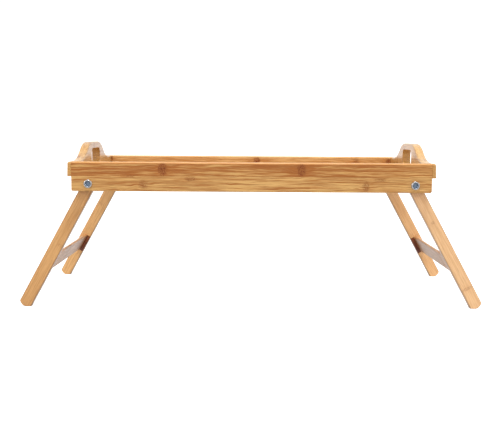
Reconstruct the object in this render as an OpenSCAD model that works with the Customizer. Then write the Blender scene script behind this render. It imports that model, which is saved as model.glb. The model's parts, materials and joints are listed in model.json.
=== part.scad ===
// Folding tray table of laminated bamboo: a framed tray with two arched end
// handles, carried on two splayed leg frames that fold flat under the panel.
// Origin: on the floor, under the middle of the tray. +X runs along the
// tray's length, +Y from front to back, +Z up. Millimetres.

/* [Tray] */
// Length of the tray, outside
tray_l = 500; // [460:10:600]
// Width of the tray over its two rails
tray_w = 300; // [280:10:360]
// Height of the front and back rails
rail_h = 40; // [38:1:50]
// Thickness of the rails
rail_t = 12; // [10:0.5:16]
// Height of the end boards beside their handles
end_h = 20; // [18:1:22]
// Thickness of the end boards
end_t = 12.5; // [10:0.5:16]
// Thickness of the layer of an end board that laps over the rail ends
lap_t = 5.5; // [4:0.5:7]
// Thickness of the panel
panel_t = 5; // [3:0.5:6]

/* [Handles] */
// Height of the handle arch above the rim
arch_h = 25; // [24:1:29]
// Width of the level top of the arch
arch_flat = 56; // [20:2:60]
// Radius of the shoulders of the arch
arch_r = 70; // [60:1:72]
// Width of the hand hole
hand_w = 67; // [60:1:84]
// Height of the hand hole
hand_h = 24; // [20:1:25]
// Wood left above the hand hole
hand_top = 10; // [8:0.5:12]
// Corner radius of the hand hole
hand_r = 8; // [4:0.5:9]

/* [Legs] */
// Height of the leg pivots above the floor
pivot_z = 172.5; // [165:0.5:190]
// Distance from a pivot up to the rim
pivot_drop = 30; // [30:0.5:31]
// Distance from a pivot to the end of the tray
pivot_inset = 28; // [26:1:40]
// Angle of an open leg from the vertical
splay = 28.7; // [20:0.1:32]
// Width of a leg
leg_w = 17.5; // [14:0.5:18]
// Thickness of a leg
leg_t = 12; // [10:0.5:14]
// Radius of the rounded foot
foot_r = 11.5; // [10:0.5:14]
// Length of the level sole under a foot
sole_l = 7.1; // [5:0.1:9]
// Distance along a leg from its pivot to the middle of the crossbar
bar_s = 132.5; // [110:0.5:150]
// Width of the crossbar slat
bar_w = 28.5; // [24:0.5:36]
// Thickness of the crossbar slat
bar_t = 5; // [4:0.5:7]

/* [Pivot bolts] */
// Diameter of the bolt shank
bolt_d = 6; // [5:0.5:6]
// Diameter of the bolt head
head_d = 11.2; // [11:0.1:12]
// How far the bolt head stands out from the rail
head_out = 1.8; // [1:0.1:3]
// Depth of the counterbore that the head sits in
head_in = 2.7; // [2:0.1:4]
// Width of the hexagon socket across its flats
socket_af = 6; // [4:0.5:6]
// Thickness of the washers
washer_t = 1.6; // [1:0.1:2]
// Outer diameter of the washers
washer_d = 16; // [12:0.5:17]
// Width of the lock nut across its flats
nut_af = 10; // [9:0.5:11]
// Height of the lock nut
nut_h = 6; // [4:0.5:7]

/* [Hidden] */

$fn = 96;

// Colours
BAMBOO = [0.80, 0.58, 0.36];
BAMBOO_PALE = [0.88, 0.70, 0.50];
STEEL = [0.72, 0.73, 0.75];

// Clearances
MOVING_GAP = 0.3;      // between a leg and the washers on either side of it
STOP_GAP = 0.2;        // between a leg head and the panel above it
FLAT_SINK = 0.05;      // the stop flat lies this much inside the round of the head
GLUE_GAP = 0.1;        // round a tenon and round the panel's edge
PIVOT_CLEARANCE = 0.08; // radial, between a bolt shank and the bore of a leg
BORE_CLEARANCE = 0.05; // radial, in the rail, the nuts and the counterbore
WASHER_CLEARANCE = 0.2; // radial, between a washer and the bolt

// Joinery
RIM_R = 3;             // rounding along the top of the rails
RAIL_CORNER_R = 2.5;   // rounding of a rail's lower end corners
GROOVE_DEPTH = 5;      // how far the panel runs into the frame
TENON_W = 22;          // width of the crossbar's tenons
TENON_L = 6;           // length of the crossbar's tenons
THREAD_OUT = 1;        // bolt tip beyond its nut
SOCKET_DEPTH = 3.2;
SOCKET_LEAD = 0.6;     // depth of the chamfer round the socket
HEAD_ROUND = 0.8;      // rounding of the bolt head's outer edge
NUT_CHAMFER = 0.9;     // height of the chamfer on a nut's corners

// Heights
rim_z = pivot_z + pivot_drop;
rail_z = rim_z - rail_h;
board_z = rim_z - end_h;      // underside of the end boards and the panel

// Positions, for the front left corner where it matters
rail_in = tray_w / 2 - rail_t;
rail_end = tray_l / 2 - lap_t;
board_in = tray_l / 2 - end_t;
pivot_x = tray_l / 2 - pivot_inset;
leg_out = rail_in - washer_t - MOVING_GAP;
leg_in = leg_out - leg_t;
nut_out = leg_in - MOVING_GAP - washer_t;

// Leg geometry, measured along the leg from its pivot
head_r = pivot_drop - end_h - STOP_GAP;
flat_r = head_r - FLAT_SINK;
foot_rise = sqrt(pow(foot_r, 2) - pow(sole_l / 2, 2));
foot_s = (pivot_z - foot_rise) / cos(splay);

// Arch: each side falls from its level top by a convex arc, then a concave one.
// The steepest slope is where the two arcs meet.
arch_slope = 30;
arch_mid_y = arch_flat / 2 + arch_r * sin(arch_slope);
arch_mid_z = arch_h - arch_r * (1 - cos(arch_slope));
sweep_r = arch_mid_z / (1 - cos(arch_slope));
arch_end_y = arch_mid_y + sweep_r * sin(arch_slope);

EPS = 0.01;  // overlap between shapes that are joined or cut
OVER = 1;    // how far a cut runs past the surface that it opens
FAR = 1000;  // larger than the whole object
ARCH_FACETS = 240;

// ---- helpers -------------------------------------------------------------

// Moves something made for the left front corner to another corner.
module corner(right = false, rear = false) {
    mirror([right ? 1 : 0, 0, 0])
        mirror([0, rear ? 1 : 0, 0])
            children();
}

// Stands a drawing in the Y-Z plane and gives it a thickness along +X.
module along_x(length) {
    rotate([90, 0, 90])
        linear_extrude(length)
            children();
}

// Stands a drawing in the X-Z plane and gives it a thickness along +Y.
module along_y(length) {
    translate([0, length, 0])
        rotate([90, 0, 0])
            linear_extrude(length)
                children();
}

// A bar of a round section along +Y from the origin.
module rod_y(r, length) {
    rotate([-90, 0, 0])
        cylinder(r = r, h = length);
}

// Rectangle with all four corners rounded.
module rounded_rect(w, h, r) {
    union() {
        translate([r, 0]) square([w - 2 * r, h]);
        translate([0, r]) square([w, h - 2 * r]);
        for (x = [r, w - r], y = [r, h - r])
            translate([x, y]) circle(r);
    }
}

// Rectangle with only its two upper corners rounded.
module round_topped_rect(w, h, r) {
    union() {
        square([w, h - r]);
        translate([r, 0]) square([w - 2 * r, h]);
        for (x = [r, w - r])
            translate([x, h - r]) circle(r);
    }
}

// ---- tray ----------------------------------------------------------------

// Takes the sharp lower corner off the left end of a rail.
module rail_corner_cut() {
    translate([-rail_end, -tray_w / 2 - EPS, rail_z])
        along_y(rail_t + 2 * EPS)
            difference() {
                translate([-EPS, -EPS]) square(RAIL_CORNER_R + EPS);
                translate([RAIL_CORNER_R, RAIL_CORNER_R]) circle(RAIL_CORNER_R);
            }
}

// Hole for the left pivot bolt, with the counterbore for its head.
module rail_bolt_hole() {
    translate([-pivot_x, -tray_w / 2 - EPS, pivot_z]) {
        rod_y(bolt_d / 2 + BORE_CLEARANCE, rail_t + 2 * EPS);
        rod_y(head_d / 2 + BORE_CLEARANCE, head_in + EPS);
    }
}

// The front rail: full-height board, grooved inside for the panel.
module rail() {
    difference() {
        translate([-rail_end, -tray_w / 2, rail_z])
            along_x(2 * rail_end)
                round_topped_rect(rail_t, rail_h, RIM_R);
        translate([-FAR / 2, -rail_in - GROOVE_DEPTH - GLUE_GAP, board_z - GLUE_GAP])
            cube([FAR, GROOVE_DEPTH + OVER, panel_t + 2 * GLUE_GAP]);
        for (right = [false, true])
            corner(right) {
                rail_corner_cut();
                rail_bolt_hole();
            }
    }
}

module front_rail() {
    color(BAMBOO) rail();
}

module back_rail() {
    color(BAMBOO) corner(rear = true) rail();
}

// Half of the arch, for y above 0, drawn from the rim upward.
module half_arch() {
    square([arch_flat / 2, arch_h]);
    square([arch_mid_y, arch_mid_z]);
    intersection() {
        translate([arch_flat / 2, arch_h - arch_r]) circle(arch_r, $fn = ARCH_FACETS);
        translate([arch_flat / 2 - EPS, 0]) square([arch_mid_y - arch_flat / 2 + EPS, arch_h]);
    }
    difference() {
        translate([arch_mid_y - EPS, 0]) square([arch_end_y - arch_mid_y, arch_mid_z]);
        translate([arch_end_y, sweep_r]) circle(sweep_r, $fn = ARCH_FACETS);
    }
}

// End board seen along X: y across, and height measured from its underside.
module board_outline() {
    translate([-tray_w / 2, 0]) round_topped_rect(tray_w, end_h, RIM_R);
    for (side = [0, 1])
        mirror([side, 0])
            translate([0, end_h]) half_arch();
}

module hand_hole() {
    translate([-hand_w / 2, end_h + arch_h - hand_top - hand_h])
        rounded_rect(hand_w, hand_h, hand_r);
}

// The left end board: its outer layer laps over the rail ends, its inner
// layer fits between the rails and is rabbeted below for the panel.
module end_board() {
    difference() {
        translate([-tray_l / 2, 0, board_z])
            along_x(end_t)
                difference() {
                    board_outline();
                    hand_hole();
                }
        for (rear = [false, true])
            corner(rear = rear)
                translate([-rail_end, -tray_w / 2 - OVER, board_z - OVER])
                    cube([end_t, rail_t + OVER, end_h + 2 * OVER]);
        translate([-board_in - GROOVE_DEPTH - GLUE_GAP, -tray_w / 2, board_z - OVER])
            cube([GROOVE_DEPTH + OVER, tray_w, OVER + panel_t + GLUE_GAP]);
    }
}

module left_end_board() {
    color(BAMBOO_PALE) end_board();
}

module right_end_board() {
    color(BAMBOO_PALE) corner(right = true) end_board();
}

module tray_panel() {
    panel_l = 2 * (board_in + GROOVE_DEPTH);
    panel_w = 2 * (rail_in + GROOVE_DEPTH);
    color(BAMBOO_PALE)
        translate([-panel_l / 2, -panel_w / 2, board_z])
            cube([panel_l, panel_w, panel_t]);
}

// ---- leg frames ----------------------------------------------------------

// What is cut away above the pivot: the head is left round on its inner side,
// and with a flat on its outer side that lies level under the panel and stops
// the leg when it is open.
module head_cut() {
    difference() {
        translate([-FAR / 2, 0]) square([FAR, FAR]);
        circle(head_r);
        rotate(splay)
            translate([-FAR, flat_r - FAR]) square([FAR, FAR]);
    }
}

// What is cut away round the foot.
module foot_cut() {
    translate([0, -foot_s])
        difference() {
            translate([-FAR / 2, -FAR]) square([FAR, FAR]);
            circle(foot_r);
        }
}

// Left leg seen from the front, its pivot at the origin and its length along
// -y. The foot is an arc with a level sole, cut where the open leg meets the
// floor.
module leg_outline() {
    difference() {
        translate([-leg_w / 2, -foot_s - foot_r]) square([leg_w, foot_s + foot_r + head_r + OVER]);
        head_cut();
        foot_cut();
        rotate(splay)
            translate([-FAR / 2, -pivot_z - FAR]) square([FAR, FAR]);
    }
}

// Carries a piece from a leg's own axes to the open left leg.
module on_left_leg() {
    translate([-pivot_x, 0, pivot_z])
        rotate([0, splay, 0])
            children();
}

// The left front leg, with its pivot bore and the mortise for the crossbar.
module leg() {
    mortise_l = TENON_W + 2 * GLUE_GAP;
    mortise_w = bar_t + 2 * GLUE_GAP;
    mortise_depth = TENON_L + GLUE_GAP;
    on_left_leg()
        difference() {
            translate([0, -leg_out, 0])
                along_y(leg_t)
                    leg_outline();
            translate([0, -leg_out - OVER, 0])
                rod_y(bolt_d / 2 + PIVOT_CLEARANCE, leg_t + 2 * OVER);
            translate([-mortise_w / 2, -leg_in - mortise_depth, -bar_s - mortise_l / 2])
                cube([mortise_w, mortise_depth + OVER, mortise_l]);
        }
}

module left_front_leg() {
    color(BAMBOO) corner() leg();
}

module left_rear_leg() {
    color(BAMBOO) corner(rear = true) leg();
}

module right_front_leg() {
    color(BAMBOO) corner(right = true) leg();
}

module right_rear_leg() {
    color(BAMBOO) corner(right = true, rear = true) leg();
}

// The left crossbar: a flat slat between the legs, tenoned into both.
module crossbar() {
    tenon_end = leg_in + TENON_L;
    on_left_leg() {
        translate([-bar_t / 2, -leg_in, -bar_s - bar_w / 2])
            cube([bar_t, 2 * leg_in, bar_w]);
        translate([-bar_t / 2, -tenon_end, -bar_s - TENON_W / 2])
            cube([bar_t, 2 * tenon_end, TENON_W]);
    }
}

module left_crossbar() {
    color(BAMBOO_PALE) crossbar();
}

module right_crossbar() {
    color(BAMBOO_PALE) corner(right = true) crossbar();
}

// ---- pivot hardware ------------------------------------------------------

// Half section of the bolt: x is its radius, y runs from the outer face of
// the head to the tip.
module bolt_section() {
    head_h = head_out + head_in;
    tip = head_out + tray_w / 2 - nut_out + nut_h + THREAD_OUT;
    square([head_d / 2 - HEAD_ROUND, head_h]);
    translate([0, HEAD_ROUND]) square([head_d / 2, head_h - HEAD_ROUND]);
    intersection() {
        translate([head_d / 2 - HEAD_ROUND, HEAD_ROUND]) circle(HEAD_ROUND);
        square([head_d / 2, head_h]);
    }
    square([bolt_d / 2, tip]);
}

// Left front bolt, with a hexagon socket in its head.
module bolt() {
    socket_r = socket_af / 2 / cos(30);
    translate([-pivot_x, -tray_w / 2 - head_out, pivot_z])
        rotate([-90, 0, 0])
            difference() {
                rotate_extrude() bolt_section();
                translate([0, 0, -OVER]) cylinder(r = socket_r, h = SOCKET_DEPTH + OVER, $fn = 6);
                translate([0, 0, -EPS])
                    cylinder(r1 = socket_r + SOCKET_LEAD, r2 = socket_af / 2, h = SOCKET_LEAD * 2);
            }
}

module left_front_pivot_bolt() {
    color(STEEL) corner() bolt();
}

module left_rear_pivot_bolt() {
    color(STEEL) corner(rear = true) bolt();
}

module right_front_pivot_bolt() {
    color(STEEL) corner(right = true) bolt();
}

module right_rear_pivot_bolt() {
    color(STEEL) corner(right = true, rear = true) bolt();
}

// A washer on the left front bolt whose outer face is at y.
module washer(y) {
    translate([-pivot_x, y, pivot_z])
        difference() {
            rod_y(washer_d / 2, washer_t);
            translate([0, -OVER, 0]) rod_y(bolt_d / 2 + WASHER_CLEARANCE, washer_t + 2 * OVER);
        }
}

// The outer washer keeps the leg off the rail.
module outer_washer() {
    washer(-rail_in);
}

// The inner washer lies under the nut.
module inner_washer() {
    washer(-leg_in + MOVING_GAP);
}

module left_front_outer_washer() {
    color(STEEL) corner() outer_washer();
}

module left_rear_outer_washer() {
    color(STEEL) corner(rear = true) outer_washer();
}

module right_front_outer_washer() {
    color(STEEL) corner(right = true) outer_washer();
}

module right_rear_outer_washer() {
    color(STEEL) corner(right = true, rear = true) outer_washer();
}

module left_front_inner_washer() {
    color(STEEL) corner() inner_washer();
}

module left_rear_inner_washer() {
    color(STEEL) corner(rear = true) inner_washer();
}

module right_front_inner_washer() {
    color(STEEL) corner(right = true) inner_washer();
}

module right_rear_inner_washer() {
    color(STEEL) corner(right = true, rear = true) inner_washer();
}

// Left front lock nut: a hexagon with its corners chamfered at both ends.
module lock_nut() {
    corner_r = nut_af / 2 / cos(30);
    translate([-pivot_x, -nut_out, pivot_z])
        rotate([-90, 0, 0])
            difference() {
                intersection() {
                    cylinder(r = corner_r, h = nut_h, $fn = 6);
                    union() {
                        cylinder(r1 = nut_af / 2, r2 = corner_r + EPS, h = NUT_CHAMFER);
                        translate([0, 0, NUT_CHAMFER])
                            cylinder(r = corner_r + EPS, h = nut_h - 2 * NUT_CHAMFER);
                        translate([0, 0, nut_h - NUT_CHAMFER])
                            cylinder(r1 = corner_r + EPS, r2 = nut_af / 2, h = NUT_CHAMFER);
                    }
                }
                translate([0, 0, -OVER]) cylinder(r = bolt_d / 2 + BORE_CLEARANCE, h = nut_h + 2 * OVER);
            }
}

module left_front_lock_nut() {
    color(STEEL) corner() lock_nut();
}

module left_rear_lock_nut() {
    color(STEEL) corner(rear = true) lock_nut();
}

module right_front_lock_nut() {
    color(STEEL) corner(right = true) lock_nut();
}

module right_rear_lock_nut() {
    color(STEEL) corner(right = true, rear = true) lock_nut();
}

// ---- assembly ------------------------------------------------------------

front_rail();
back_rail();
left_end_board();
right_end_board();
tray_panel();

left_front_leg();
left_rear_leg();
right_front_leg();
right_rear_leg();
left_crossbar();
right_crossbar();

left_front_pivot_bolt();
left_rear_pivot_bolt();
right_front_pivot_bolt();
right_rear_pivot_bolt();

left_front_outer_washer();
left_rear_outer_washer();
right_front_outer_washer();
right_rear_outer_washer();

left_front_inner_washer();
left_rear_inner_washer();
right_front_inner_washer();
right_rear_inner_washer();

left_front_lock_nut();
left_rear_lock_nut();
right_front_lock_nut();
right_rear_lock_nut();
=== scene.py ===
import json
import math

import bmesh
import bpy
from mathutils import Matrix, Vector


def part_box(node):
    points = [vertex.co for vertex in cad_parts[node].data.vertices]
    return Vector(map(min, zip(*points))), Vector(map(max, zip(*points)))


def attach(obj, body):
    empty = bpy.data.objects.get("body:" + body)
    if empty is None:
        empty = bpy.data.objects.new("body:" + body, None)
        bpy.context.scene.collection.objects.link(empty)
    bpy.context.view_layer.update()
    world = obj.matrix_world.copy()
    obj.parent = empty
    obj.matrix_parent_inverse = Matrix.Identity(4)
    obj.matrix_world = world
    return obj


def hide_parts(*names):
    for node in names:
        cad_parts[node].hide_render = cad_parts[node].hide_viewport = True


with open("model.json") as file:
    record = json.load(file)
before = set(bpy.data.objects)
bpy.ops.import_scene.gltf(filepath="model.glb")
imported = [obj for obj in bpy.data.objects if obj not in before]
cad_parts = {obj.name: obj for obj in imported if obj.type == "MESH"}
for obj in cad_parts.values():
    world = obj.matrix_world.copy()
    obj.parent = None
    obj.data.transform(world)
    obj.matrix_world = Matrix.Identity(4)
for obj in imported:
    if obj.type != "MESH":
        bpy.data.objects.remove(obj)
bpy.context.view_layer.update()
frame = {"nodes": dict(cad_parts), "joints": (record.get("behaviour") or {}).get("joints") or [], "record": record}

SCENE = bpy.context.scene
MM = 0.001

# A folding tray table: a bamboo tray with a handle at each end, on two leg frames that fold under it.
# Outlines, places and radii below are in millimetres, unless a name says otherwise.
# A side is -1 on the left and 1 on the right; a row is 1 at the front and -1 at the rear.


def box_mm(node):
    """The lowest and the highest corner of a CAD node's box."""
    low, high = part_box(node)
    return low / MM, high / MM


# ---- sizes taken from the frame --------------------------------------------

RAIL_LOW, RAIL_HIGH = box_mm("front_rail")
BOARD_LOW, BOARD_HIGH = box_mm("left_end_board")
PANEL_LOW, PANEL_HIGH = box_mm("tray_panel")
LEG_LOW, LEG_HIGH = box_mm("left_front_leg")
BAR_LOW, BAR_HIGH = box_mm("left_crossbar")
BOLT_LOW, BOLT_HIGH = box_mm("left_front_pivot_bolt")
OUTER_WASHER_LOW, OUTER_WASHER_HIGH = box_mm("left_front_outer_washer")
INNER_WASHER_LOW, INNER_WASHER_HIGH = box_mm("left_front_inner_washer")
NUT_LOW, NUT_HIGH = box_mm("left_front_lock_nut")

RIM_Z = RAIL_HIGH.z
RAIL_X = RAIL_HIGH.x
RAIL_IN = -RAIL_HIGH.y
TRAY_X = -BOARD_LOW.x
TRAY_Y = BOARD_HIGH.y
ARCH_H = BOARD_HIGH.z - RIM_Z
BOARD_Z = BOARD_LOW.z
BOARD_IN = -BOARD_HIGH.x

JOINTS = {joint["name"]: joint for joint in frame["joints"]}
PIVOT = Vector(JOINTS["right_leg_fold"]["pos_m"]) / MM
BODIES = frame["record"]["behaviour"]["bodies"]
BODY_OF = {node: body for body, nodes in BODIES.items() for node in nodes}

# ---- sizes of the design that the frame's boxes don't give -----------------

RIM_ROUND = 3.0            # along the top of the rails
CORNER_ROUND = 2.5         # lower end corners of the rails
EDGE_ROUND = 1.0           # other long edges of the wood
SEAM_ROUND = 0.2           # where two glued pieces meet
GRIP_ROUND = 3.0           # edges of the rim and the arch of an end board
HOLE_ROUND = 1.0           # edges of the hand holes
LEG_ROUND = 1.3
PANEL_GROOVE = 5.1         # depth of the grooves round the panel
GLUE_GAP = 0.1
PAST = 1                   # how far a cutting shape runs past the surface that it cuts

ARCH_FLAT = 56             # level top of a handle
ARCH_R = 70                # convex arc beside it
ARCH_SLOPE = math.radians(30)
HAND_W = 67
HAND_H = 24
HAND_TOP = 10              # wood above a hand hole
HAND_R = 8

LEG_W = 17.5
HEAD_R = 9.8               # round head of a leg
FLAT_R = 9.75              # its stop flat, from the pivot
FOOT_R = 11.5
SOLE_L = 7.1
SPLAY = math.radians(28.7)
BAR_S = 132.5              # crossbar's middle, down the leg from the pivot
BAR_W = 28.5
BAR_T = 5
BAR_ROUND = 2.3
TENON_W = 22
TENON_ROUND = 0.3          # long edges of a tenon
TENON_END = 0.4            # edges of its ends

HEAD_D = BOLT_HIGH.x - BOLT_LOW.x
HEAD_H = 4.5
HEAD_RIM = 0.8             # rounding of a bolt head's face
HEAD_CHAMFER = 0.3
SHANK_D = 6
TIP_L = 0.6                # chamfered end of a bolt
SOCKET_AF = 6
SOCKET_DEPTH = 3.2
LEAD_OUT = 0.45            # how far the socket's lead-in reaches past its corners
LEAD_IN = 0.2              # and inside its flats, at the lead-in's foot
LEAD_DEPTH = 0.9
THREAD_PITCH = 1.0
THREAD_L = 14
THREAD_DEPTH = 0.55
LEG_BORE = 3.08            # radius of the bolt hole in a leg
RAIL_BORE = 3.05           # and in a rail
SINK_FIT = 0.06            # play round a bolt head in its counterbore
SINK_MOUTH = 0.35          # play at the counterbore's chamfered mouth
WASHER_BORE = 3.2
WASHER_ROUND = 0.25
NUT_AF = 10
NUT_BORE = 3.05
NUT_CHAMFER = 0.7
COLLAR_H = 1.4             # the collar, at the end away from the washer
COLLAR_ROUND = 0.8

FOOT_S = (PIVOT.z - math.sqrt(FOOT_R ** 2 - (SOLE_L / 2) ** 2)) / math.cos(SPLAY)

SHARP_ANGLE = math.radians(35)
FLAT_FACE_WEIGHT = 80      # how far the shading normals follow the larger faces


# ---- outlines --------------------------------------------------------------

def arc(cx, cy, r, start, end, steps):
    """Points of an arc, its angles in degrees, with both ends."""
    turns = [math.radians(start + (end - start) * k / steps) for k in range(steps + 1)]
    return [(cx + r * math.cos(a), cy + r * math.sin(a)) for a in turns]


def rounded_box(x0, y0, x1, y1, radii, steps=5):
    """Rectangle whose corners have these radii, from the lower left one counter-clockwise."""
    corners = [(x0, y0, 1, 1, 180), (x1, y0, -1, 1, 270), (x1, y1, -1, -1, 0), (x0, y1, 1, -1, 90)]
    points = []
    for (x, y, in_x, in_y, start), r in zip(corners, radii):
        points += arc(x + in_x * r, y + in_y * r, r, start, start + 90, steps)
    return points


def circle(cx, cy, r, steps=48):
    """Points round a full circle, each of them once."""
    return arc(cx, cy, r, 0, 360, steps)[:-1]


def hexagon(r):
    """Hexagon whose corners lie at a radius."""
    return circle(0, 0, r, 6)


def arch_side(z0):
    """Half of the arch, at positive y, from its level top down to z0: a convex arc, then a concave one."""
    convex = arc(ARCH_FLAT / 2, z0 + ARCH_H - ARCH_R, ARCH_R, 90, 90 - math.degrees(ARCH_SLOPE), 10)
    meet_y, meet_z = convex[-1]
    sweep = (meet_z - z0) / (1 - math.cos(ARCH_SLOPE))
    end_y = meet_y + sweep * math.sin(ARCH_SLOPE)
    concave = arc(end_y, z0 + sweep, sweep, 270 - math.degrees(ARCH_SLOPE), 270, 12)
    return convex + concave[1:]


def board_outline():
    """End board seen along X, counter-clockwise from its lower left corner."""
    right = arch_side(RIM_Z)
    left = [(-y, z) for y, z in right]
    top_r = arc(TRAY_Y - RIM_ROUND, RIM_Z - RIM_ROUND, RIM_ROUND, 0, 90, 5)
    top_l = [(-y, z) for y, z in reversed(top_r)]
    return [(-TRAY_Y, BOARD_Z), (TRAY_Y, BOARD_Z)] + top_r + right[::-1] + left + top_l


def hand_hole_outline():
    """Hand hole seen along X, centred under the arch."""
    top = BOARD_HIGH.z - HAND_TOP
    return rounded_box(-HAND_W / 2, top - HAND_H, HAND_W / 2, top, [HAND_R] * 4)


def leg_outline():
    """Leg with its pivot at the origin, its foot at -y and its outer edge at -x."""
    half = LEG_W / 2
    down = -90 + math.degrees(SPLAY)
    sole_half = math.degrees(math.asin(SOLE_L / 2 / FOOT_R))
    edge_angle = math.degrees(math.acos(half / FOOT_R))
    flat_half = math.degrees(math.acos(FLAT_R / HEAD_R))
    flat_end = (FLAT_R - half * math.sin(SPLAY)) / math.cos(SPLAY)
    foot = arc(0, -FOOT_S, FOOT_R, edge_angle - 180, down - sole_half, 8)
    foot += arc(0, -FOOT_S, FOOT_R, down + sole_half, -edge_angle, 2)
    head_start = math.degrees(math.acos(half / HEAD_R))
    head = arc(0, 0, HEAD_R, head_start, 90 + math.degrees(SPLAY) + flat_half, 16)
    return foot + head + [(-half, flat_end)]


# ---- meshes ----------------------------------------------------------------

def along_x(side=1):
    """Places an outline of the Y-Z plane, with its depth along X, mirrored when side is -1."""
    return lambda u, v, w: Vector((side * w, u, v))


def along_y(side=1):
    """Places an outline of the X-Z plane, with its depth along Y, mirrored when side is -1."""
    return lambda u, v, w: Vector((u, side * w, v))


def on_leg(side, row=1):
    """Places an outline drawn in a leg's own axes on the open left (-1) or right (1) leg frame."""
    cos, sin = math.cos(SPLAY), math.sin(SPLAY)

    def place(u, v, w):
        x = side * (PIVOT.x - u * cos - v * sin)
        z = PIVOT.z - u * sin + v * cos
        return Vector((x, row * w, z))

    return place


def on_bolt(side, row):
    """Places a shape turned about a pivot bolt: u and v across it, w along Y as at the front."""
    return lambda u, v, w: Vector((side * PIVOT.x + u, row * w, PIVOT.z + v))


SHARPEST_TURN = 0.4        # cosine of the half turn past which a corner's move grows no further


def inward(loop):
    """For each point of a loop, the move into the solid that shifts both its edges by one."""
    moves = []
    for k, point in enumerate(loop):
        here = Vector(point)
        before = (here - Vector(loop[k - 1])).normalized()
        after = (Vector(loop[(k + 1) % len(loop)]) - here).normalized()
        bisector = (before + after).normalized()
        side = Vector((-bisector.y, bisector.x))
        moves.append(side / max(SHARPEST_TURN, bisector.dot(after)))
    return moves


SAME_POINT = 0.002         # points nearer than this are one


def finish_mesh(name, bm):
    """Makes an object of a closed bmesh, with all its faces turned outward."""
    bmesh.ops.remove_doubles(bm, verts=bm.verts, dist=SAME_POINT * MM)
    bmesh.ops.recalc_face_normals(bm, faces=bm.faces)
    mesh = bpy.data.meshes.new(name)
    bm.to_mesh(mesh)
    bm.free()
    piece = bpy.data.objects.new(name, mesh)
    SCENE.collection.objects.link(piece)
    return piece


def prism(name, outline, low, high, place, rounding=0.0, holes=(), steps=4):
    """Closed mesh of an outline between two depths, the edges of both faces rounded.

    rounding is a radius, or a function that gives the radius at a point of the outline. The holes
    are turned to run clockwise, so that the solid is on the left of every loop.
    """
    radius = rounding if callable(rounding) else (lambda u, v: rounding)
    loops = [list(outline)] + [list(reversed(hole)) for hole in holes]
    turns = [math.pi / 2 * k / steps for k in range(steps + 1)]
    profile = [(1 - math.sin(a), 1 - math.cos(a), 0) for a in turns]
    profile += [(inset, drop, 1) for inset, drop, _ in reversed(profile)]
    bm = bmesh.new()
    caps = {0: [], len(profile) - 1: []}
    for loop in loops:
        moves = inward(loop)
        rings = []
        for inset, drop, at_high in profile:
            ring = []
            for (u, v), move in zip(loop, moves):
                r = radius(u, v)
                w = high - r * drop if at_high else low + r * drop
                at = place(u + move.x * r * inset, v + move.y * r * inset, w)
                ring.append(bm.verts.new(at * MM))
            rings.append(ring)
        for below, above in zip(rings, rings[1:]):
            for k in range(len(loop)):
                bm.faces.new((below[k - 1], below[k], above[k], above[k - 1]))
        for level in caps:
            ring = rings[level]
            caps[level] += [bm.edges.get((ring[k - 1], ring[k])) for k in range(len(loop))]
    for edges in caps.values():
        bmesh.ops.triangle_fill(bm, use_beauty=True, edges=edges)
    return finish_mesh(name, bm)


def lathe(name, profile, place, closed=False, steps=48):
    """Solid of revolution from (radius, depth) points. An open profile starts and ends on the axis."""
    bm = bmesh.new()
    rings = []
    for r, w in profile:
        if r == 0:
            rings.append([bm.verts.new(place(0, 0, w) * MM)])
        else:
            rings.append([bm.verts.new(place(u, v, w) * MM) for u, v in circle(0, 0, r, steps)])
    pairs = list(zip(rings, rings[1:]))
    if closed:
        pairs.append((rings[-1], rings[0]))
    for a, b in pairs:
        for k in range(steps):
            if len(a) == 1:
                corners = [a[0], b[k], b[k - 1]]
            elif len(b) == 1:
                corners = [a[k - 1], a[k], b[0]]
            else:
                corners = [a[k - 1], a[k], b[k], b[k - 1]]
            bm.faces.new(corners)
    return finish_mesh(name, bm)


def combine(piece, tools, operation="DIFFERENCE"):
    """Cuts the tools from a piece, or adds them to it, and removes them."""
    for tool in tools:
        cut = piece.modifiers.new("cut", "BOOLEAN")
        cut.operation = operation
        cut.solver = "EXACT"
        cut.object = tool
    result = piece.evaluated_get(bpy.context.evaluated_depsgraph_get())
    shaped = bpy.data.meshes.new_from_object(result)
    piece.modifiers.clear()
    piece.data = shaped
    for tool in tools:
        bpy.data.objects.remove(tool)
    return piece


def settle(piece, node, material):
    """Shades a piece, gives it its material, and lets it stand for its CAD node."""
    piece.data.shade_smooth()
    piece.data.set_sharp_from_angle(angle=SHARP_ANGLE)
    weigh = piece.modifiers.new("even shading", "WEIGHTED_NORMAL")
    weigh.keep_sharp = True
    weigh.weight = FLAT_FACE_WEIGHT
    piece.data.materials.clear()
    piece.data.materials.append(material)
    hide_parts(node)
    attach(piece, BODY_OF[node])


# ---- shader building -------------------------------------------------------

def srgb(r, g, b):
    """Linear colour from 0-255 screen values."""
    values = [c / 255 for c in (r, g, b)]
    return [c / 12.92 if c <= 0.04045 else ((c + 0.055) / 1.055) ** 2.4 for c in values] + [1.0]


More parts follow.
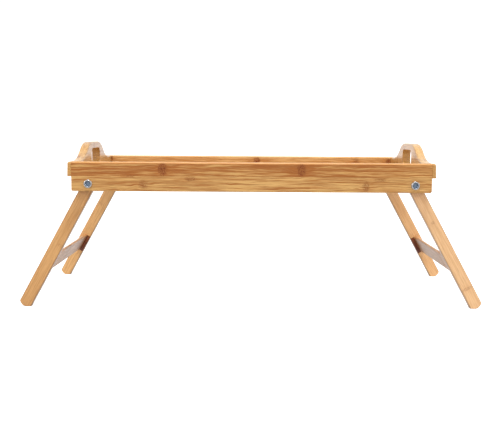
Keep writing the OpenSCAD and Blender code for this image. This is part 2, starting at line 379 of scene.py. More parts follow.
class Graph:
    """Adds nodes to the shader tree of a material or the world. Each call returns the new node's output."""

    def __init__(self, owner):
        owner.use_nodes = True
        self.owner = owner
        self.tree = owner.node_tree
        self.shader = self.tree.nodes.get("Principled BSDF") or self.tree.nodes["Background"]

    def feed(self, socket, value):
        """Links an output to a socket, or sets the socket to a plain value."""
        if isinstance(value, bpy.types.NodeSocket):
            self.tree.links.new(value, socket)
        else:
            socket.default_value = value

    def node(self, kind, inputs, out=0, **settings):
        """Adds a node with these inputs and settings, and returns one of its outputs."""
        made = self.tree.nodes.new(kind)
        for key, value in settings.items():
            setattr(made, key, value)
        for key, value in inputs.items():
            self.feed(made.inputs[key], value)
        return made.outputs[out]

    def math(self, operation, *values):
        """Arithmetic on numbers."""
        return self.node("ShaderNodeMath", dict(enumerate(values)), operation=operation)

    def centred(self, value, weight):
        """A value of 0 to 1 turned into a push of up to half the weight either way."""
        return self.math("MULTIPLY_ADD", value, weight, -weight / 2)

    def most(self, values):
        """The largest of several values."""
        largest = values[0]
        for value in values[1:]:
            largest = self.math("MAXIMUM", largest, value)
        return largest

    def vector(self, operation, *values, out=0):
        """Arithmetic on vectors."""
        return self.node("ShaderNodeVectorMath", dict(enumerate(values)), out, operation=operation)

    def join(self, x, y, z):
        """A vector of three numbers."""
        return self.node("ShaderNodeCombineXYZ", {0: x, 1: y, 2: z})

    def noise(self, at, detail=2.0, roughness=0.5, distortion=0.0):
        """Smooth noise of 0 to 1, with features of about one unit."""
        inputs = {"Vector": at, "Scale": 1.0, "Detail": detail, "Roughness": roughness,
                  "Distortion": distortion}
        return self.node("ShaderNodeTexNoise", inputs)

    def fade(self, value, low, high, start=0.0, end=1.0):
        """Smooth change from start to end as the value goes from low to high."""
        inputs = {"Value": value, "From Min": low, "From Max": high, "To Min": start, "To Max": end}
        return self.node("ShaderNodeMapRange", inputs, interpolation_type="SMOOTHSTEP")

    def mix(self, factor, a, b, blend="MIX"):
        """Colour a blended towards colour b."""
        made = self.tree.nodes.new("ShaderNodeMix")
        made.data_type = "RGBA"
        made.blend_type = blend
        self.feed(made.inputs[0], factor)
        self.feed(made.inputs[6], a)
        self.feed(made.inputs[7], b)
        return made.outputs[2]

    def split(self, vector):
        """The three parts of a vector."""
        made = self.tree.nodes.new("ShaderNodeSeparateXYZ")
        self.feed(made.inputs[0], vector)
        return made.outputs

    def bump(self, height, strength, depth):
        """Gives the shader a relief of this depth in millimetres."""
        inputs = {"Strength": strength, "Distance": depth * MM, "Height": height}
        self.feed(self.shader.inputs["Normal"], self.node("ShaderNodeBump", inputs))

    def object_mm(self):
        """The place on the object, in millimetres."""
        coordinates = self.node("ShaderNodeTexCoord", {}, "Object")
        return self.vector("MULTIPLY", coordinates, (1 / MM, 1 / MM, 1 / MM))


# ---- bamboo ----------------------------------------------------------------

# Colour of the node scars, and of the painted corner shade on the back rail.
NODE_AND_CORNER_SHADE_BROWN = srgb(112, 42, 0)
# Colour of the vessels and glue lines, and of the painted shade along the legs' edges.
DASH_AND_EDGE_SHADE_BROWN = srgb(122, 70, 28)
# Painted shadow that a crossbar casts on a leg: dark, with paler fibres.
SHADOW_DARK = srgb(96, 32, 6)
SHADOW_PALE = srgb(168, 92, 42)
END_GRAIN = (0.88, 0.78, 0.6, 1.0)
WARM_TINT = (1.0, 0.97, 0.93, 1.0)
COOL_TINT = (1.0, 1.02, 1.06, 1.0)

# Length and width of each pattern in the grain, and how strongly it moves the colour.
FIBRE_L, FIBRE_W, FIBRE_WEIGHT = 34.0, 1.3, 2.6
BAND_L, BAND_W, BAND_WEIGHT = 60.0, 1.8, 1.7
CLOUD_L, CLOUD_W, CLOUD_WEIGHT = 120.0, 26.0, 0.7
VESSEL_L, VESSEL_W, VESSEL_WEIGHT = 16.0, 0.9, 0.34
CURL_L, CURL_W = 3.4, 5.2          # curls inside a node scar
TONE_WEIGHT = 0.46                 # how much the strips differ from each other
PULL_WEIGHT = 0.36                 # how much darker the grain is towards a scar
SCAR_HALF = (1.6, 5.2)             # a strip's own node scar fades out between these
SCAR_PULL = 24.0                   # how far it pulls the grain
SEAM_HALF = (0.12, 0.55)           # a glue line fades out between these
SWERVE = 2.2                       # how far the fibres wander
SWERVE_AT_SCAR = 9.0
# Painted shadow of a crossbar on a leg: how soft its edges are.
SHADOW_SOFT = 0.4
SHADOW_SKIN = 1.0                   # how far the painted shadow reaches to either side of its face
HIGHLIGHT_TOP, HIGHLIGHT_LOW = -0.8, -2.6  # painted highlight along the top edge of a board, from its rim
EDGE_SHADE = (1.6, 0.1)              # painted shade along the long edges, inward from the edge
PORE_DEPTH = 0.12
PORE_STRENGTH = 0.35
LACQUER_ROUGH = 0.25
WOOD_SPECULAR = 0.2


def cell_chances(g, strip_n, ply_n, seed):
    """Three random numbers that belong to one strip of one ply."""
    cell = g.join(g.math("ADD", strip_n, seed * 7.31), g.math("ADD", ply_n, seed * 3.17), seed * 1.0)
    chance = g.node("ShaderNodeTexWhiteNoise", {"Vector": cell}, "Color", noise_dimensions="3D")
    parts = g.tree.nodes.new("ShaderNodeSeparateColor")
    g.feed(parts.inputs[0], chance)
    return parts.outputs


def node_scars_and_shade(g, u, v, strip_n, phase, seed, marks, node_gap, node_strength):
    """The scars of the growth nodes, and patches of painted shade given among the marks: a mask that is 1 at each
    scar and patch, and the reach of its pull on the grain.
    """
    scars = []
    pulls = []
    for mark_u, mark_v, half_l, half_h, strength in marks:
        offset = g.join(g.math("SUBTRACT", u, mark_u), g.math("SUBTRACT", v, mark_v), 0.0)
        near = g.vector("MULTIPLY", offset, (1 / half_l, 1 / half_h, 0))
        wide = g.vector("MULTIPLY", offset, (0.28 / half_l, 0.8 / half_h, 0))
        scars.append(g.fade(g.vector("LENGTH", near, out="Value"), 0.55, 1.15, strength, 0.0))
        pulls.append(g.fade(g.vector("LENGTH", wide, out="Value"), 0.0, 1.25, strength, 0.0))
    if node_gap:
        shifted = g.math("SUBTRACT", u, g.math("MULTIPLY", phase, node_gap))
        bend = g.noise(g.join(strip_n, g.math("MULTIPLY", v, 0.12), seed * 2.0), 1.0)
        shifted = g.math("ADD", shifted, g.math("MULTIPLY", bend, 7.0))
        away = g.math("PINGPONG", shifted, node_gap / 2)
        scars.append(g.fade(away, *SCAR_HALF, node_strength, 0.0))
        pulls.append(g.fade(away, 0.0, SCAR_PULL, node_strength, 0.0))
    return g.most(scars), g.most(pulls)


def grain(g, u, v, w, lane):
    """Noise drawn out along the grain: broad bands, fine fibres, and vessels as short dark dashes."""
    def streaks(length, width, detail, rough=0.55):
        at = g.join(g.math("DIVIDE", g.math("ADD", u, lane), length), g.math("DIVIDE", v, width),
                    g.math("DIVIDE", g.math("ADD", w, lane), width))
        return g.noise(at, detail, rough)

    bands = streaks(BAND_L, BAND_W, 2.0)
    fibres = streaks(FIBRE_L, FIBRE_W, 3.0, 0.6)
    vessels = g.fade(streaks(VESSEL_L, VESSEL_W, 1.0), 0.58, 0.70)
    return bands, fibres, vessels


def curls(g, u, v, w):
    """Tight curls, 1 along their ridges."""
    at = g.join(g.math("DIVIDE", u, CURL_L), g.math("DIVIDE", v, CURL_W), g.math("DIVIDE", w, CURL_W))
    curl = g.noise(at, 1.0, 0.5, 2.6)
    return g.fade(g.math("ABSOLUTE", g.math("SUBTRACT", curl, 0.5)), 0.02, 0.10, 1.0, 0.0)


def glue_line(g, position, width):
    """1 along the seams of layers of this width."""
    return g.fade(g.math("PINGPONG", position, width / 2), *SEAM_HALF, 1.0, 0.0)


def box_mask(g, values, limits):
    """1 where every value lies between its own two limits."""
    sides = []
    for value, (low, high) in zip(values, limits):
        sides.append(g.fade(value, low - SHADOW_SOFT, low + SHADOW_SOFT))
        sides.append(g.fade(value, high + SHADOW_SOFT, high - SHADOW_SOFT))
    inside = sides[0]
    for side in sides[1:]:
        inside = g.math("MULTIPLY", inside, side)
    return inside


def lacquered(g, colour, fibres, vessels, line, scarred_and_shaded, coat):
    """Gives the shader its colour, the relief of the grain, and a satin lacquer of this weight."""
    relief = g.math("SUBTRACT", g.math("MULTIPLY", fibres, 0.7), g.math("MULTIPLY", vessels, 0.5))
    relief = g.math("SUBTRACT", relief, g.math("ADD", g.math("MULTIPLY", line, 0.9), scarred_and_shaded))
    rough = g.math("ADD", g.math("MULTIPLY_ADD", fibres, 0.22, 0.30), g.math("MULTIPLY", scarred_and_shaded, 0.15))
    g.bump(relief, PORE_STRENGTH, PORE_DEPTH)
    g.feed(g.shader.inputs["Base Color"], colour)
    g.feed(g.shader.inputs["Roughness"], rough)
    g.feed(g.shader.inputs["Specular IOR Level"], WOOD_SPECULAR)
    g.feed(g.shader.inputs["Coat Weight"], coat)
    g.feed(g.shader.inputs["Coat Roughness"], LACQUER_ROUGH)


def bamboo(name, along, across, origin, pale, deep, seed, strip=20.0, ply=6.5, seam=0.0, contrast=1.0,
           step=0.0, node_gap=0.0, node_strength=0.6, marks=(), edge_shade_half=0.0, bar_shadow=None, depth=0.45,
           rim_highlight=0.0, coat=0.8):
    """Laminated bamboo, lacquered satin.

    along is the grain's direction and across the direction that the strips lie side by side, both
    measured from origin, where a seam between plies lies. strip and ply are the widths of the
    layers, and seam is where a seam between strips lies. depth is how far the colour lies from pale
    to deep, contrast how strongly the grain moves it, and step how much darker each strip is than
    the one before it. node_gap is the distance between the nodes of a strip, and node_strength how
    dark they are. marks are single node scars, and on the back rail patches of painted shade in its
    corners, each (along, across, half length, half height, strength). edge_shade_half paints shade on the
    edges that far from the middle. stain is the painted shadow that a crossbar casts on a leg, a pair
    of limits each for along, across and depth. crown is how much of the colour turns pale along the
    board's top edge, a painted highlight, and coat the weight of the lacquer.
    """
    g = Graph(bpy.data.materials.new(name))
    along, across = Vector(along), Vector(across)
    place = g.vector("SUBTRACT", g.object_mm(), tuple(origin))
    axes = (along, across, along.cross(across))
    u, v, w = [g.vector("DOT_PRODUCT", place, tuple(axis), out="Value") for axis in axes]
    strip_v = g.math("SUBTRACT", v, seam)
    strip_n = g.math("FLOOR", g.math("DIVIDE", strip_v, strip))
    ply_n = g.math("FLOOR", g.math("DIVIDE", w, ply))
    tone, phase, hue = cell_chances(g, strip_n, ply_n, seed)
    scar, pull = node_scars_and_shade(g, u, v, strip_n, phase, seed, marks, node_gap, node_strength)

    # Fibres run along the grain and swerve round the scars, and those of one strip don't go on in the next.
    swerve = g.noise(g.join(g.math("MULTIPLY", u, 0.06), g.math("MULTIPLY", v, 0.14), seed * 5.0), 1.0)
    reach = g.math("MULTIPLY_ADD", pull, SWERVE_AT_SCAR, SWERVE)
    fibre_v = g.math("ADD", v, g.math("MULTIPLY", g.math("SUBTRACT", swerve, 0.5), reach))
    lane = g.math("MULTIPLY", g.math("ADD", tone, ply_n), 37.0)
    bands, fibres, vessels = grain(g, u, fibre_v, w, lane)
    cloud = g.noise(g.join(g.math("DIVIDE", u, CLOUD_L), g.math("DIVIDE", v, CLOUD_W), seed * 3.0), 1.0)

    # Strip tone, streaks and clouds move the colour between pale and deep. The vessels are darker.
    shade = g.centred(tone, TONE_WEIGHT)
    for pattern, weight in ((bands, BAND_WEIGHT), (fibres, FIBRE_WEIGHT), (cloud, CLOUD_WEIGHT)):
        shade = g.math("ADD", shade, g.centred(pattern, weight))
    shade = g.math("MULTIPLY_ADD", shade, contrast, depth)
    shade = g.math("ADD", shade, g.math("MULTIPLY", pull, PULL_WEIGHT))
    if step:
        shade = g.math("ADD", shade, g.math("MULTIPLY", strip_n, step))
    colour = g.mix(g.fade(shade, 0.0, 1.0), pale, deep)
    colour = g.mix(1.0, colour, g.mix(hue, WARM_TINT, COOL_TINT), "MULTIPLY")
    colour = g.mix(g.math("MULTIPLY", vessels, VESSEL_WEIGHT * contrast), colour, DASH_AND_EDGE_SHADE_BROWN)

    # The scars, and the painted corner shade on the back rail, are brown curls. Glue lines are weaker between
    # plies than between strips.
    scarred_and_shaded = g.math("MULTIPLY", scar, g.math("MULTIPLY_ADD", curls(g, u, v, w), 0.8, 0.2))
    colour = g.mix(scarred_and_shaded, colour, NODE_AND_CORNER_SHADE_BROWN)
    line = g.math("MAXIMUM", glue_line(g, strip_v, strip), g.math("MULTIPLY", glue_line(g, w, ply), 0.6))
    line = g.math("MULTIPLY", line, g.fade(bands, 0.35, 0.6, 0.25, 0.6))
    colour = g.mix(line, colour, DASH_AND_EDGE_SHADE_BROWN)

    # End grain drinks the lacquer and turns browner.
    facing = g.node("ShaderNodeTexCoord", {}, "Normal")
    cut_across = g.math("ABSOLUTE", g.vector("DOT_PRODUCT", facing, tuple(along), out="Value"))
    colour = g.mix(g.fade(cut_across, 0.55, 0.95, 0.0, 0.85), colour, END_GRAIN, "MULTIPLY")

    # Painted highlight: the colour turns pale along the top edge, where the rounded rim catches the light.
    if rim_highlight:
        colour = g.mix(g.fade(v, HIGHLIGHT_LOW, HIGHLIGHT_TOP, 0.0, rim_highlight), colour, pale)
    # Painted shade: the long edges turn darker, standing in for the shading of their rounding.
    if edge_shade_half:
        start, end = (edge_shade_half - inset for inset in EDGE_SHADE)
        colour = g.mix(g.fade(g.math("ABSOLUTE", v), start, end, 0.0, 0.6), colour, DASH_AND_EDGE_SHADE_BROWN)
    # Painted shadow: the crossbar's shadow on the leg's face, on the inner side of the bar.
    if bar_shadow:
        shadow_colour = g.mix(g.fade(fibres, 0.36, 0.64), SHADOW_DARK, SHADOW_PALE)
        colour = g.mix(box_mask(g, (u, v, w), bar_shadow), colour, shadow_colour)
    lacquered(g, colour, fibres, vessels, line, scarred_and_shaded, coat)
    return g.owner


# ---- metal -----------------------------------------------------------------

NICKEL = srgb(202, 202, 204)
ZINC = srgb(190, 192, 196)
TARNISH = srgb(120, 118, 112)
# Painted shade of a bolt's socket: a dark ring at its mouth, and blue-grey inside.
SOCKET_MOUTH_SHADE = srgb(92, 92, 94)
SOCKET_SHADE_BLUE = srgb(116, 130, 148)
TOOL_MARK_DEPTH = 0.03


def turned_metal(name, colour, centre, roughness, grime, socket_r=0.0):
    """Plated steel with turning marks round an axis along Y. Inside a dark ring of painted shade, a socket is
    painted a shaded blue-grey.
    """
    g = Graph(bpy.data.materials.new(name))
    place = g.object_mm()
    flat = g.vector("MULTIPLY", g.vector("SUBTRACT", place, (centre[0], 0, centre[1])), (1, 0, 1))
    r = g.vector("LENGTH", flat, out="Value")
    rings = g.noise(g.join(g.math("MULTIPLY", r, 4.0), 0.0, 0.0), 2.0)
    blotch = g.noise(g.vector("MULTIPLY", place, (0.35, 0.35, 0.35)), 3.0)
    tarnish = g.fade(blotch, 0.42, 0.72, 0.0, grime)
    tint = g.mix(tarnish, colour, TARNISH)
    # Painted shade: a dark ring at the socket's mouth, and a shaded blue-grey inside the socket.
    if socket_r:
        tint = g.mix(g.fade(r, socket_r + 0.5, socket_r + 0.8, 1.0, 0.0), tint, SOCKET_MOUTH_SHADE)
        tint = g.mix(g.fade(r, socket_r - 0.2, socket_r + 0.1, 1.0, 0.0), tint, SOCKET_SHADE_BLUE)
    worn = g.math("MULTIPLY_ADD", rings, 0.10, roughness - 0.05)
    worn = g.math("ADD", worn, g.math("MULTIPLY", tarnish, 0.3))
    g.bump(rings, 0.25, TOOL_MARK_DEPTH)
    g.feed(g.shader.inputs["Base Color"], tint)
    g.feed(g.shader.inputs["Metallic"], 1.0)
    g.feed(g.shader.inputs["Roughness"], worn)
    return g.owner


# ---- tray ------------------------------------------------------------------

FRONT_PALE = srgb(225, 178, 108)
FRONT_DEEP = srgb(174, 103, 40)
BACK_PALE = srgb(224, 182, 120)
BACK_DEEP = srgb(184, 124, 64)
BOARD_PALE = srgb(214, 170, 104)
BOARD_DEEP = srgb(178, 126, 60)
PANEL_PALE = srgb(196, 150, 100)
PANEL_DEEP = srgb(162, 114, 66)
# The rear legs' paler colours are painted light, making up for the shade that they get behind the front of the
# table.
LEG_TONES_AND_LIGHT = {
    "left_front": (srgb(214, 164, 104), srgb(180, 126, 68)),
    "left_rear": (srgb(242, 190, 124), srgb(206, 148, 84)),
    "right_front": (srgb(238, 196, 146), srgb(212, 160, 108)),
    "right_rear": (srgb(255, 204, 144), srgb(228, 168, 106)),
}
SLAT_PALE = srgb(212, 158, 104)
SLAT_DEEP = srgb(182, 126, 76)

RAIL_SEAM = -19.0          # glue line of the rails, from the rim

# Node scars of the rails, and on the back rail two patches of painted shade in its corners at the end boards:
# (from the middle, from the rim, half length, half height, strength).
FRONT_MARKS = [
    (-121, -9.5, 6.8, 10.5, 1.0),
    (67, -9.5, 6.8, 10.5, 1.0),
    (-164, -19.0, 7.0, 2.2, 0.5),
    (-147, -31.0, 7.0, 7.0, 0.55),
    (-83, -22.5, 9.0, 3.4, 0.7),
    (155, -31.5, 5.5, 7.5, 0.7),
    (174, -22.5, 9.0, 2.6, 0.55),
]
BACK_SCARS_AND_CORNER_SHADE = [
    (10, -8.0, 7.0, 8.0, 0.95),
    (-156, -29.0, 6.0, 8.0, 0.7),
    (178, -10.0, 6.0, 8.5, 0.6),
    # Painted shade in the corners where the back rail meets the end boards, drawn like node scars.
    (-236, -6.0, 2.4, 9.0, 0.95),
    (233, -10.0, 5.0, 8.0, 0.8),
]
BOARD_SEAM = 3             # glue line of the end boards, above the rim
PANEL_SEAM = 9             # a glue line of the panel, behind its middle
PANEL_PLY = PANEL_HIGH.z - PANEL_LOW.z + 1   # thicker than the panel, so that no ply ends at its top


def rail(node, row, marks, seed, pale, deep, depth):
    """One long rail: rounded along its rim, grooved for the panel, with a counterbored hole at each pivot."""
    outer, inner = TRAY_Y, RAIL_IN
    radii = [EDGE_ROUND, EDGE_ROUND, RIM_ROUND, RIM_ROUND]
    section = rounded_box(-outer, RAIL_LOW.z, -inner, RIM_Z, radii)
    section = [(row * y, z) for y, z in section]
    if row < 0:
        section.reverse()
    piece = prism(node + "_wood", section, -RAIL_X, RAIL_X, along_x(), SEAM_ROUND)
    turn = along_y(row)
    low, high = PANEL_LOW.z - GLUE_GAP, PANEL_HIGH.z + GLUE_GAP
    groove = [(-TRAY_X, low), (TRAY_X, low), (TRAY_X, high), (-TRAY_X, high)]
    tools = [prism("groove", groove, -inner - PANEL_GROOVE, -inner + PAST, turn)]
    for side in (-1, 1):
        bore = circle(side * PIVOT.x, PIVOT.z, RAIL_BORE)
        tools.append(prism("bore", bore, -outer - PAST, -inner + PAST, turn))
        tools.append(counterbore(side, row))
        tools.append(end_corner(side, row))
    combine(piece, tools)
    # The rail's top edge gets a painted highlight.
    wood = bamboo(node + "_bamboo", (1, 0, 0), (0, 0, 1), (0, row * -outer, RIM_Z), pale, deep, seed,
                  seam=RAIL_SEAM, contrast=0.85, step=0.4, marks=marks, depth=depth, rim_highlight=0.5, coat=0.2)
    settle(piece, node, wood)


def counterbore(side, row):
    """What is cut from a rail to let a bolt head in."""
    head_r = HEAD_D / 2
    foot = BOLT_LOW.y + HEAD_H
    profile = [(0, -TRAY_Y - PAST), (head_r + SINK_MOUTH, -TRAY_Y - PAST), (head_r + SINK_MOUTH, -TRAY_Y),
               (head_r + SINK_FIT, -TRAY_Y + HEAD_CHAMFER), (head_r + SINK_FIT, foot), (0, foot)]
    return lathe("counterbore", profile, on_bolt(side, row))


def end_corner(side, row):
    """What is cut from a rail's lower end corner to leave it round."""
    r = CORNER_ROUND
    x0, z0 = RAIL_X, RAIL_LOW.z
    cut = [(x0 + PAST, z0 + r)] + arc(x0 - r, z0 + r, r, 0, -90, 6)
    cut += [(x0 - r, z0 - PAST), (x0 + PAST, z0 - PAST)]
    outline = [(side * x, z) for x, z in cut]
    if side < 0:
        outline.reverse()
    return prism("corner", outline, -TRAY_Y - PAST, -RAIL_IN + PAST, along_y(row))


def board_rounding(y, z):
    """Edge radius of an end board: small below, a grip along the rim and the arch, small in the hand hole."""
    if abs(y) <= HAND_W / 2 and BOARD_Z < z <= BOARD_HIGH.z - HAND_TOP:
        return HOLE_ROUND
    rise = min(1.0, max(0.0, (z - RIM_Z + RIM_ROUND + HAND_R) / RIM_ROUND))
    return EDGE_ROUND + (GRIP_ROUND - EDGE_ROUND) * rise


def end_board(node, side, seed):
    """One end board: its outer layer laps over the rail ends, and its arch has a hand hole."""
    turn = along_x(side)
    hole = hand_hole_outline()
    piece = prism(node + "_wood", board_outline(), BOARD_IN, TRAY_X, turn, board_rounding, [hole])
    low, high, end = BOARD_Z - PAST, PANEL_HIGH.z + GLUE_GAP, TRAY_Y + PAST
    rabbet = [(-end, low), (end, low), (end, high), (-end, high)]
    tools = [prism("rabbet", rabbet, BOARD_IN - PAST, BOARD_IN + PANEL_GROOVE, turn)]
    for row in (-1, 1):
        y0, y1 = sorted((row * RAIL_IN, row * end))
        lap = [(y0, low), (y1, low), (y1, RIM_Z + PAST), (y0, RIM_Z + PAST)]
        tools.append(prism("lap", lap, BOARD_IN - PAST, RAIL_X, turn))
    combine(piece, tools)
    origin = (side * RAIL_X, 0, RIM_Z + BOARD_SEAM)
    wood = bamboo(node + "_bamboo", (0, 1, 0), (0, 0, 1), origin, BOARD_PALE, BOARD_DEEP, seed,
                  strip=21.0, contrast=0.75, node_gap=210.0)
    settle(piece, node, wood)


def tray_panel():
    """The panel keeps its CAD shape: its edges are hidden in the grooves."""
    origin = (0, PANEL_SEAM, PANEL_LOW.z)
    wood = bamboo("panel_bamboo", (1, 0, 0), (0, 1, 0), origin, PANEL_PALE, PANEL_DEEP, 11.0, strip=18.0,
                  ply=PANEL_PLY, contrast=0.8, node_gap=230.0, node_strength=0.45)
    panel = frame["nodes"]["tray_panel"]
    panel.data.materials.clear()
    panel.data.materials.append(wood)


# ---- leg frames ------------------------------------------------------------

# Node scars of the legs: (down from the pivot, across to the middle, half length, half height, strength).
LEG_MARKS = {
    "left_front": [(96, 5, 2.6, 5, 0.2)],
    "left_rear": [(60, -3, 2.6, 6, 0.2)],
    "right_front": [(59, 0, 2.6, 2.6, 0.4), (164, 0, 2.4, 9, 0.35)],
    "right_rear": [(118, -4, 2.6, 5, 0.25)],
}


def leg_axes(side):
    """The down-the-leg direction and the inward direction across it."""
    down = Vector((side * math.sin(SPLAY), 0, -math.cos(SPLAY)))
    across = Vector((-side * math.cos(SPLAY), 0, -math.sin(SPLAY)))
    return down, across


def leg(node, side, row, tones_and_light, marks, seed):
    """One leg: round head with a stop flat, round foot with a level sole, bolt hole and mortise."""
    turn = on_leg(side, row)
    outer, inner = -LEG_LOW.y, -LEG_HIGH.y
    piece = prism(node + "_wood", leg_outline(), -outer, -inner, turn, LEG_ROUND, [circle(0, 0, LEG_BORE)])
    half_t, half_w = BAR_T / 2 + GLUE_GAP, TENON_W / 2 + GLUE_GAP
    mortise = [(-half_t, -BAR_S - half_w), (half_t, -BAR_S - half_w),
               (half_t, -BAR_S + half_w), (-half_t, -BAR_S + half_w)]
    combine(piece, [prism("mortise", mortise, BAR_LOW.y - GLUE_GAP, -inner + PAST, turn)])
    # The crossbar's shadow on the leg's inner face beside the bar is painted in, as long as the bar is wide.
    down, across = leg_axes(side)
    face = -side * row * inner
    skin = (face - SHADOW_SKIN, face + SHADOW_SKIN)
    bar_shadow = ((BAR_S - BAR_W / 2, BAR_S + BAR_W / 2), (BAR_T / 2, LEG_W / 2), skin)
    # The leg's long edges get painted shade.
    wood = bamboo(node + "_bamboo", down, across, (side * PIVOT.x, 0, PIVOT.z), *tones_and_light, seed,
                  strip=2 * LEG_W, ply=2 * TRAY_Y, seam=LEG_W, contrast=0.5, marks=marks,
                  edge_shade_half=LEG_W / 2, bar_shadow=bar_shadow)
    settle(piece, node, wood)


def crossbar(node, side, seed):
    """The flat slat between the two legs of a frame, with its tenons."""
    turn = on_leg(side)
    half_t = BAR_T / 2
    reach = -LEG_HIGH.y
    slat = rounded_box(-half_t, -BAR_S - BAR_W / 2, half_t, -BAR_S + BAR_W / 2, [BAR_ROUND] * 4)
    tenon = rounded_box(-half_t, -BAR_S - TENON_W / 2, half_t, -BAR_S + TENON_W / 2, [TENON_ROUND] * 4)
    piece = prism(node + "_wood", slat, -reach, reach, turn, SEAM_ROUND)
    combine(piece, [prism("tenon", tenon, BAR_LOW.y, BAR_HIGH.y, turn, TENON_END)], "UNION")
    down, _ = leg_axes(side)
    wood = bamboo(node + "_bamboo", (0, 1, 0), down, (side * PIVOT.x, 0, PIVOT.z), SLAT_PALE, SLAT_DEEP,
                  seed, strip=2 * BAR_S, ply=2 * BAR_S, contrast=0.7, node_gap=170.0, node_strength=0.3,
                  coat=0.4)
    settle(piece, node, wood)


# ---- pivot hardware --------------------------------------------------------

def thread(shank_r, tip):
    """Profile of the rolled thread, up to the tip's chamfer."""
    turns = int(THREAD_L / THREAD_PITCH)
    points = []
    for k in range(turns):
        start = tip - TIP_L - (turns - k) * THREAD_PITCH
        points += [(shank_r, start), (shank_r - THREAD_DEPTH, start + THREAD_PITCH * 0.5)]
    return points


def bolt(node, side, row, metal):
    """Furniture bolt: flat head with a rounded rim and a hexagon socket, plain shank, rolled thread."""
    turn = on_bolt(side, row)
    face, tip = BOLT_LOW.y, BOLT_HIGH.y
    head_r, shank_r = HEAD_D / 2, SHANK_D / 2
    rim = arc(head_r - HEAD_RIM, face + HEAD_RIM, HEAD_RIM, -90, 0, 5)
    profile = [(0, face)] + rim
    profile += [(head_r, face + HEAD_H - HEAD_CHAMFER), (head_r - HEAD_CHAMFER, face + HEAD_H)]
    profile += [(shank_r, face + HEAD_H)] + thread(shank_r, tip)
    profile += [(shank_r - 0.1, tip - TIP_L), (shank_r - THREAD_DEPTH, tip), (0, tip)]
    piece = lathe(node + "_metal", profile, turn)
    corner_r = SOCKET_AF / 2 / math.cos(math.pi / 6)
    socket = prism("socket", hexagon(corner_r), face - PAST, face + SOCKET_DEPTH, turn)
    mouth, foot = face - 0.01, face + LEAD_DEPTH
    lead_in = [(0, mouth), (corner_r + LEAD_OUT, mouth), (SOCKET_AF / 2 - LEAD_IN, foot), (0, foot)]
    combine(piece, [socket, lathe("lead", lead_in, turn)])
    settle(piece, node, metal)


def washer(node, side, row, y0, y1, metal):
    """Flat washer between two depths, its edges a little rounded."""
    turn = on_bolt(side, row)
    outer_r = (OUTER_WASHER_HIGH.x - OUTER_WASHER_LOW.x) / 2
    section = rounded_box(WASHER_BORE, y0, outer_r, y1, [WASHER_ROUND] * 4, 3)
    settle(lathe(node + "_metal", section, turn, closed=True), node, metal)


def lock_nut(node, side, row, metal):
    """Lock nut: a hexagon chamfered at the washer, with the low collar that grips the thread."""
    turn = on_bolt(side, row)
    y0, y1 = NUT_LOW.y, NUT_HIGH.y
    flat_r = NUT_AF / 2
    corner_r = flat_r / math.cos(math.pi / 6)
    collar_r = flat_r - 0.6
    profile = [(NUT_BORE + 0.4, y1), (flat_r - 0.1, y1), (corner_r, y1 - NUT_CHAMFER)]
    profile += [(corner_r, y0 + COLLAR_H + NUT_CHAMFER), (flat_r - 0.1, y0 + COLLAR_H + 0.1)]
    profile += [(collar_r, y0 + COLLAR_H)]
    profile += arc(collar_r - COLLAR_ROUND, y0 + COLLAR_ROUND, COLLAR_ROUND, 0, -90, 4)
    profile += [(NUT_BORE + 0.2, y0), (NUT_BORE, y0 + 0.3), (NUT_BORE, y1 - 0.4)]
    body = lathe(node + "_metal", profile, turn, closed=True, steps=60)
    blank = prism("hexagon", hexagon(corner_r), y0 - PAST, y1 + PAST, turn)
    combine(body, [blank], "INTERSECT")
    settle(body, node, metal)


# ---- the object ------------------------------------------------------------

def leg_corner(corner, side, row):
    """One leg with the bolt that it turns on, the bolt's two washers and its nut."""
    seed = 30.0 + 2 * side - row
    leg(corner + "_leg", side, row, LEG_TONES_AND_LIGHT[corner], LEG_MARKS[corner], seed)
    axis = (side * PIVOT.x, PIVOT.z)
    nickel = turned_metal(corner + "_nickel", NICKEL, axis, 0.3, 0.4, SOCKET_AF / 2 + 0.6)
    zinc = turned_metal(corner + "_zinc", ZINC, axis, 0.36, 0.6)
    bolt(corner + "_pivot_bolt", side, row, nickel)
    washer(corner + "_outer_washer", side, row, OUTER_WASHER_LOW.y, OUTER_WASHER_HIGH.y, zinc)
    washer(corner + "_inner_washer", side, row, INNER_WASHER_LOW.y, INNER_WASHER_HIGH.y, zinc)
    lock_nut(corner + "_lock_nut", side, row, zinc)


def build_object():
    """The whole table."""
    rail("front_rail", 1, FRONT_MARKS, 1.0, FRONT_PALE, FRONT_DEEP, 0.85)
    rail("back_rail", -1, BACK_SCARS_AND_CORNER_SHADE, 2.0, BACK_PALE, BACK_DEEP, 0.5)
    end_board("left_end_board", -1, 3.0)
    end_board("right_end_board", 1, 4.0)
    tray_panel()
    for side, side_name in ((-1, "left"), (1, "right")):
        crossbar(side_name + "_crossbar", side, 20.0 + side)
        for row, row_name in ((1, "front"), (-1, "rear")):
            leg_corner(side_name + "_" + row_name, side, row)


# ---- camera, light and floor -----------------------------------------------

CAM_PLACE = (-0.00581, -1.27745, RIM_Z * MM + 0.04313)   # metres
CAM_YAW = math.radians(-0.19)
CAM_PITCH = math.radians(-6.13)
CAM_ROLL = math.radians(0.37)
CAM_SENSOR = 36
CAM_LENS = 59.988

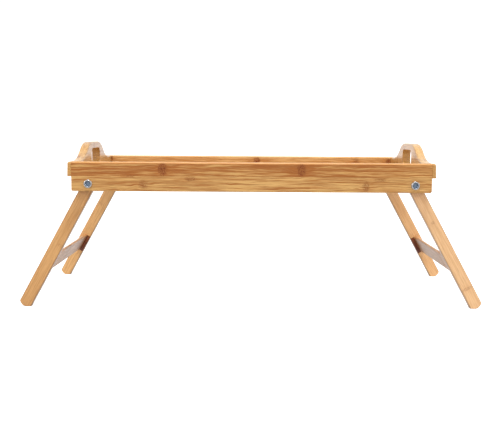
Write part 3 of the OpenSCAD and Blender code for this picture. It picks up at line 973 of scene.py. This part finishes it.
WHITE = (1.0, 1.0, 1.0, 1.0)
WORLD_SEEN = 1.05          # strength of the world for the camera
WORLD_LIGHT = 0.4          # and as light on the object
GLOSS_FRONT = 0.35         # in reflections, on the camera's side
GLOSS_BACK = 1.1           # and behind the object
FLOOR_SEEN = 0.92          # the same for the floor
FLOOR_GLOSS = 0.6
FLOOR_TINTS = ((0.47, 0.47, 0.47, 1.0), (0.50, 0.50, 0.50, 1.0))
FLOOR_HALF = 25.0          # metres
FLOOR_Z = -0.0001
LAMPS = [
    ("top lamp", (0.0, 0.15, -0.99), 2.4, 20),
    ("front lamp", (0.0, 0.96, -0.28), 1.3, 80),
    ("left lamp", (0.86, 0.34, -0.38), 0.8, 10),
    ("right lamp", (-0.86, 0.34, -0.38), 0.8, 10),
]


def make_camera():
    """The camera, at a place and turn that were fitted to the object's corners."""
    data = bpy.data.cameras.new("camera")
    data.sensor_width = CAM_SENSOR
    data.lens = CAM_LENS
    data.clip_start = 0.05
    data.clip_end = 60
    camera = bpy.data.objects.new("camera", data)
    SCENE.collection.objects.link(camera)
    yaw = Matrix.Rotation(CAM_YAW, 4, "Z")
    pitch = Matrix.Rotation(math.pi / 2 + CAM_PITCH, 4, "X")
    roll = Matrix.Rotation(CAM_ROLL, 4, "Z")
    camera.matrix_world = Matrix.Translation(CAM_PLACE) @ yaw @ pitch @ roll
    SCENE.camera = camera


def lamp(name, towards, strength, size_deg):
    """A far soft lamp that shines along a direction."""
    data = bpy.data.lights.new(name, "SUN")
    data.energy = strength
    data.angle = math.radians(size_deg)
    light = bpy.data.objects.new(name, data)
    light.matrix_world = Vector(towards).to_track_quat("-Z", "Y").to_matrix().to_4x4()
    SCENE.collection.objects.link(light)


def by_ray(g, to_camera, to_gloss, to_rest):
    """A strength for what the camera sees, for what reflections see, and for what lights the object."""
    rays = g.tree.nodes.new("ShaderNodeLightPath")
    strength = g.math("MULTIPLY_ADD", rays.outputs["Is Camera Ray"], to_camera - to_rest, to_rest)
    extra = g.math("SUBTRACT", to_gloss, to_rest)
    return g.math("MULTIPLY_ADD", rays.outputs["Is Glossy Ray"], extra, strength)


def make_studio():
    """White all round. Reflections find it bright behind the object and dim on the front side."""
    world = bpy.data.worlds.new("studio")
    SCENE.world = world
    SCENE.view_settings.view_transform = "Standard"
    g = Graph(world)
    to_back = g.split(g.node("ShaderNodeTexCoord", {}, "Generated"))["Y"]
    gloss = g.fade(to_back, -0.2, 0.6, GLOSS_FRONT, GLOSS_BACK)
    g.feed(g.shader.inputs["Color"], WHITE)
    g.feed(g.shader.inputs["Strength"], by_ray(g, WORLD_SEEN, gloss, WORLD_LIGHT))
    for name, towards, strength, size_deg in LAMPS:
        lamp(name, towards, strength, size_deg)


def floor_material():
    """Matt white that fades into the world. It is clear from below, to show the object's underside."""
    g = Graph(bpy.data.materials.new("pale_floor"))
    place = g.object_mm()
    speck = g.noise(g.vector("MULTIPLY", place, (0.05, 0.05, 0.05)), 2.0)
    from_front = g.vector("DOT_PRODUCT", place, (0, 1, 0), out="Value")
    gloss = g.fade(from_front, -500, 200, 0.0, FLOOR_GLOSS)
    g.feed(g.shader.inputs["Base Color"], g.mix(speck, *FLOOR_TINTS))
    g.feed(g.shader.inputs["Roughness"], 0.9)
    g.feed(g.shader.inputs["Specular IOR Level"], 0.1)
    g.feed(g.shader.inputs["Emission Color"], WHITE)
    g.feed(g.shader.inputs["Emission Strength"], by_ray(g, FLOOR_SEEN, gloss, 0.0))
    clear = g.tree.nodes.new("ShaderNodeBsdfTransparent")
    turned = g.tree.nodes.new("ShaderNodeNewGeometry")
    either = g.tree.nodes.new("ShaderNodeMixShader")
    g.feed(either.inputs[0], turned.outputs["Backfacing"])
    g.feed(either.inputs[1], g.shader.outputs[0])
    g.feed(either.inputs[2], clear.outputs[0])
    g.feed(g.tree.nodes["Material Output"].inputs["Surface"], either.outputs[0])
    return g.owner


def make_floor():
    """A wide plain floor, just under the soles."""
    corners = [(x * FLOOR_HALF, y * FLOOR_HALF, FLOOR_Z) for x, y in ((-1, -1), (1, -1), (1, 1), (-1, 1))]
    mesh = bpy.data.meshes.new("floor")
    mesh.from_pydata(corners, [], [(0, 1, 2, 3)])
    mesh.materials.append(floor_material())
    floor = bpy.data.objects.new("floor", mesh)
    SCENE.collection.objects.link(floor)


make_camera()
build_object()
make_studio()
make_floor()
